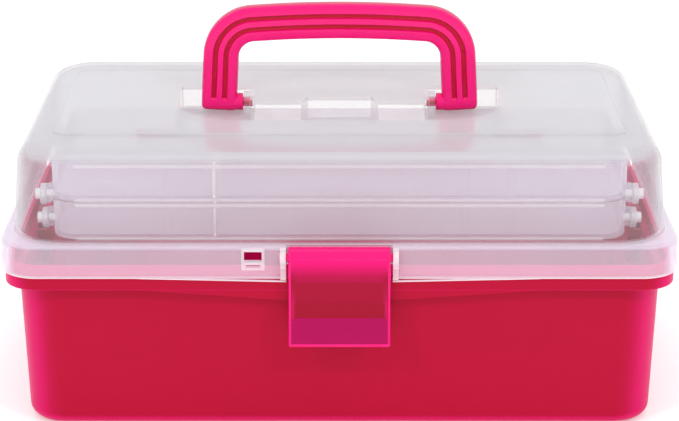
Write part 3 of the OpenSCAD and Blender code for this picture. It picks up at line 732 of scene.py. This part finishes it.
# ---------------------------------------------------------------- latch
def build_latch():
    """Latch hasp: a side outline swept across, its face sunk between two raised rims."""
    lo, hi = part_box("latch")
    half, lip_top = 24.5 * mm, 62.5 * mm
    low, y0, y1 = lo.z, lo.y, latch_y

    def side(sunk):
        """Side outline (y, z): barrel on top, sunken plate, lip kicking out at the bottom, nose behind."""
        f = 1.5 * mm if sunk else 0.0
        pts = [(y1 - 5.2 * mm, latch_z + 0.2 * mm), (y1 - 4.3 * mm, 87 * mm),
               (y1 - 3.9 * mm + f * 0.35, 81 * mm), (y1 - 3.9 * mm + f, 70 * mm),
               (y1 - 4.6 * mm + f * 1.1, lip_top), (y1 - 6.2 * mm + f * 0.2, 55.5 * mm),
               (y0, low + 1.6 * mm), (y0 + 0.5 * mm, low), (y0 + 2.6 * mm, low),
               (y1 - 3.4 * mm, 53.2 * mm), (y1 - 0.6 * mm, 59.5 * mm), (y1 + 0.4 * mm, 62.8 * mm),
               (y1 + 2.7 * mm, 64.0 * mm), (y1 + 2.9 * mm, 67 * mm), (y1 + 0.4 * mm, 68.4 * mm),
               (y1 + 0.4 * mm, 86.6 * mm), (y1 + 2.6 * mm, 88.2 * mm)]
        rr = [0, 3, 8, 8, 8, 3, 0.8, 0.6, 0.8, 4, 2, 0.6, 0.7, 0.8, 0.6, 0.8, 0]
        line = rounded(pts, [v * mm for v in rr], 4)
        # over the top of the barrel
        r = 5.2 * mm
        a0, a1 = math.atan2(88.2 * mm - latch_z, 2.6 * mm), math.pi
        turns = [a0 + (a1 - a0) * k / 22 for k in range(1, 22)]
        return line + [Vector((y1 + r * math.cos(a), latch_z + r * math.sin(a))) for a in turns]

    full, sunk = side(False), side(True)

    def inset(pts, d):
        """Outline moved inwards by d, point by point along its own normal."""
        out = []
        n = len(pts)
        for i, p in enumerate(pts):
            tang = (pts[(i + 1) % n] - pts[i - 1]).normalized()
            out.append(p + Vector((-tang.y, tang.x)) * d)
        return out

    area = sum(a.x * b.y - b.x * a.y for a, b in zip(full, full[1:] + full[:1]))
    sign = 1 if area > 0 else -1
    stations = []
    for s in (-1, 1):
        seq = [(half, inset(full, 0.6 * mm * sign)), (half - 0.2 * mm, inset(full, 0.25 * mm * sign)),
               (half - 0.6 * mm, full), (half - 1.2 * mm, full)]
        for k in range(1, 8):
            u = k / 7
            ease = 1 - (1 - u) ** 2
            seq.append((half - 1.2 * mm - 4.2 * mm * u, [a.lerp(b, ease) for a, b in zip(full, sunk)]))
        seq = [(s * x, o) for x, o in seq]
        stations += seq if s < 0 else list(reversed(seq))
    bm = bmesh.new()
    skin(bm, [[Vector((x, p.x, p.y)) for p in o] for x, o in stations])
    bmesh.ops.recalc_face_normals(bm, faces=bm.faces)
    for s in (-1, 1):
        xs = sorted((s * (half - 2 * mm), s * hi.x))
        bm = combine(bm, rod(xs[0], xs[1], (latch_y, latch_z), 1.9 * mm, 0.3 * mm, 28), "UNION")
    ob = finish_mesh("latch_hasp", bm, "latch", pink_latch, ["latch"], angle=40,
                     weighted=False)

    def sunken(c, n):
        """The front face between the rims, which gets painted shade."""
        return abs(c.x) < half - 1.25 * mm and n.y < -0.25 and low + 1.7 * mm < c.z < 93 * mm

    # painted shade on the sunken face
    paint(ob, pink_panel_shaded, sunken)
    # painted shade, less dark, on the lip
    paint(ob, pink_lip_shaded, lambda c, n: sunken(c, n) and c.z < lip_top)


# ---------------------------------------------------------------- trays and dividers
def build_tray(node, body, pivots):
    """Open tray with beads along its front, divider grooves and a boss at each pivot (y, z)."""
    lo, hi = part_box(node)
    back = hi.y
    front = lo.y + 1 * mm
    low = hi.z - 19.2 * mm
    top = hi.z
    half = 143 * mm
    cy, hy = (front + back) / 2, (back - front) / 2
    t, corner = 1.5 * mm, 12 * mm
    prof = [(-12 * mm, low + 0.7 * mm), (-8 * mm, low + 0.7 * mm), (-7 * mm, low), (0, low), (0, top),
            (-t, top), (-t, low + t), (-12 * mm, low + t)]
    rad = [0, 0.3 * mm, 0.3 * mm, 1.6 * mm, 0.45 * mm, 0.45 * mm, 2.2 * mm, 0]
    form = plan(half, hy, corner)
    bm = shell([form(*q) for q in prof], rad, cy, 12)
    # rim bead and foot bead along the front
    bead = closed_rounded([(front - 0.95 * mm, top - 1.7 * mm), (front + 0.6 * mm, top - 1.7 * mm),
                           (front + 0.6 * mm, top - 0.05 * mm), (front - 0.95 * mm, top - 0.05 * mm)],
                          [0.4 * mm, 0, 0, 0.5 * mm], 3)
    bead_b = prism(bead, -half + corner, half - corner, "X")
    foot = closed_rounded([(front - 0.65 * mm, low + 0.15 * mm), (front + 0.6 * mm, low + 0.15 * mm),
                           (front + 0.6 * mm, low + 1.5 * mm), (front - 0.65 * mm, low + 1.5 * mm)],
                          [0.4 * mm, 0, 0, 0.4 * mm], 3)
    foot_b = prism(foot, -half + corner, half - corner, "X")
    # divider grooves, each between two ribs
    first, step, gap = 39 * mm, 23 * mm, 3 * mm
    ribs = []
    for s in (-1, 1):
        for n in range(3):
            for k in (-1, 1):
                x = s * (first + step * n) + k * gap / 2
                for y in (front + t - 0.2 * mm, back - t - 1.4 * mm):
                    ribs.append(block((x - 0.5 * mm, y, low + t - 0.2 * mm),
                                      (x + 0.5 * mm, y + 1.6 * mm, top - 2.6 * mm), 0.15 * mm, 1))
    # pivot bosses, flat where they would reach below the tray
    boss_r = 4.5 * mm
    bosses, holes = [], []
    for s in (-1, 1):
        for p in pivots:
            xs = sorted((s * (half - 1.2 * mm), s * hi.x))
            boss = rod(xs[0], xs[1], p, boss_r, 0.0, 40)
            if p[1] - boss_r < low:
                xs = sorted((s * (half - 2 * mm), s * (half + 0.45 * mm)))
                under = block((xs[0], p[0] - 6 * mm, low - 8 * mm), (xs[1], p[0] + 6 * mm, low))
                boss = combine(boss, under, "DIFFERENCE")
            bosses.append(boss)
            xs = sorted((s * (half - 3 * mm), s * (hi.x + 1 * mm)))
            holes.append(rod(xs[0], xs[1], p, 2.0 * mm, 0.0, 32))
    bm = combine(bm, joined(bead_b, foot_b, *ribs, *bosses), "UNION")
    bm = combine(bm, joined(*holes), "DIFFERENCE")
    ob = finish_mesh(node + "_moulding", bm, body, clear_tray, [node])
    # painted highlight on the front beads
    paint(ob, edge_highlight, lambda c, _: c.y < front - 0.15 * mm)


def build_divider(node, body):
    """Plain plate that stands in the tray's grooves."""
    plate = block(*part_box(node), 0.3 * mm)
    finish_mesh(node + "_plate", plate, body, clear_divider, [node])


def build_arm(node, body, ends, holes):
    """Strap round its two end pivots (y, z), with a shallow channel between holes on both faces."""
    lo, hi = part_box(node)
    x0, x1 = lo.x, hi.x
    wide, soft, channel = 5.25 * mm, 0.4 * mm, 2.6 * mm
    p, q = Vector(ends[0]), Vector(ends[1])
    d = (q - p).normalized()
    n = Vector((-d.y, d.x))
    outline = []
    for c, way in ((p, 1), (q, -1)):
        turns = [math.radians(-115 + 230 * k / 22) for k in range(23)]
        outline += [c + (-d * way * math.cos(a) + n * way * math.sin(a)) * wide for a in turns]

    def shrunk(by):
        """The outline drawn in towards the nearer pivot."""
        pivots = [p if (v - p).length < (v - q).length else q for v in outline]
        return [v + (near - v).normalized() * by for v, near in zip(outline, pivots)]

    rings = [(x0, shrunk(soft)), (x0 + soft * 0.3, shrunk(soft * 0.3)), (x0 + soft, outline),
             (x1 - soft, outline), (x1 - soft * 0.3, shrunk(soft * 0.3)), (x1, shrunk(soft))]
    bm = bmesh.new()
    skin(bm, [[Vector((x, v.x, v.y)) for v in o] for x, o in rings])
    bmesh.ops.recalc_face_normals(bm, faces=bm.faces)
    stops = sorted((Vector(h) - p).dot(d) for h in holes)
    for xa, xb in ((x0 - 1 * mm, x0 + 0.5 * mm), (x1 - 0.5 * mm, x1 + 1 * mm)):
        cuts = []
        for s0, s1 in zip(stops, stops[1:]):
            a, c = p + d * (s0 + 7.5 * mm), p + d * (s1 - 7.5 * mm)
            corners = [a + n * channel, c + n * channel, c - n * channel, a - n * channel]
            cuts.append(prism(closed_rounded(corners, [1.6 * mm] * 4, 5), xa, xb, "X"))
        bm = combine(bm, joined(*cuts), "DIFFERENCE")
    for h in holes:
        bm = combine(bm, rod(x0 - 1 * mm, x1 + 1 * mm, h, 2.08 * mm, 0.0, 32), "DIFFERENCE")
    finish_mesh(node + "_link", bm, body, milky_arm, [node])


build_tub()
build_lid()
build_handle()
build_latch()
build_tray("lower_tray", "lower_tray", [fore_top, arm_mid])
build_tray("upper_tray", "upper_tray", [arm_top, lid_post])
build_divider("lower_divider", "lower_tray")
build_divider("upper_divider", "upper_tray")
for side in ("left", "right"):
    build_arm("long_arm_" + side, "long_arms", (arm_foot, arm_top), (arm_foot, arm_mid, arm_top))
    build_arm("short_arm_" + side, "short_arms", (fore_foot, fore_top), (fore_foot, fore_top))

# carried-over CAD pins
for name, ob in frame["nodes"].items():
    if "_pin_" in name:
        mat = wire if name.startswith("hinge_pin") else milky_pin
        for i in range(len(ob.data.materials)):
            ob.data.materials[i] = mat


# ---------------------------------------------------------------- floor, light, camera
def floor_material():
    """White studio floor."""
    m = bpy.data.materials.new("studio_floor")
    m.use_nodes = True
    nt = m.node_tree
    b = nt.nodes["Principled BSDF"]
    t = nt.nodes.new("ShaderNodeTexNoise")
    t.inputs["Scale"].default_value = 3
    r = nt.nodes.new("ShaderNodeMapRange")
    r.inputs["To Min"].default_value = 0.6
    r.inputs["To Max"].default_value = 0.75
    nt.links.new(t.outputs["Fac"], r.inputs["Value"])
    nt.links.new(r.outputs[0], b.inputs["Roughness"])
    b.inputs["Base Color"].default_value = (0.93, 0.93, 0.93, 1)
    b.inputs["Emission Color"].default_value = (1, 1, 1, 1)
    b.inputs["Emission Strength"].default_value = 0.25
    return m


bm = bmesh.new()
bmesh.ops.create_grid(bm, x_segments=8, y_segments=8, size=6.0)
me = bpy.data.meshes.new("floor")
bm.to_mesh(me)
bm.free()
floor = bpy.data.objects.new("floor", me)
floor.location.z = cad_low.z - 0.3 * mm
me.materials.append(floor_material())
bpy.context.scene.collection.objects.link(floor)
floor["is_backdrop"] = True

world = bpy.data.worlds.new("studio")
bpy.context.scene.world = world
world.use_nodes = True
world.node_tree.nodes["Background"].inputs[0].default_value = (1, 1, 1, 1)
world.node_tree.nodes["Background"].inputs[1].default_value = 0.9

look = Vector((0, 0, 81.6 * mm))                  # the point the camera and the lights aim at


def softbox(name, place, size, power):
    """Rectangular area light that aims at the box."""
    d = bpy.data.lights.new(name, "AREA")
    d.shape = "RECTANGLE"
    d.size, d.size_y = size
    d.energy = power
    ob = bpy.data.objects.new(name, d)
    ob.location = place
    ob.rotation_euler = (look - Vector(place)).to_track_quat("-Z", "Y").to_euler()
    bpy.context.scene.collection.objects.link(ob)


softbox("key_left", (-1.25, -1.3, 1.5), (0.14, 0.14), 7)
softbox("key_right", (1.25, -1.3, 1.5), (0.14, 0.14), 7)
softbox("overhead", (0, 0.3, 1.9), (1.4, 1.0), 5)

cam = bpy.data.cameras.new("camera")
cam.sensor_width = 36
cam.lens = 3.150221 * cam.sensor_width            # as fitted to the box's outline
cam.clip_end = 50
co = bpy.data.objects.new("camera", cam)
tilt, distance = math.radians(19), 1.124
co.location = look + Vector((0, -math.cos(tilt), math.sin(tilt))) * distance
co.rotation_euler = (math.pi / 2 - tilt, 0, 0)
bpy.context.scene.collection.objects.link(co)
bpy.context.scene.camera = co
bpy.context.scene.view_settings.view_transform = "Standard"
bpy.context.scene.cycles.transparent_max_bounces = 48
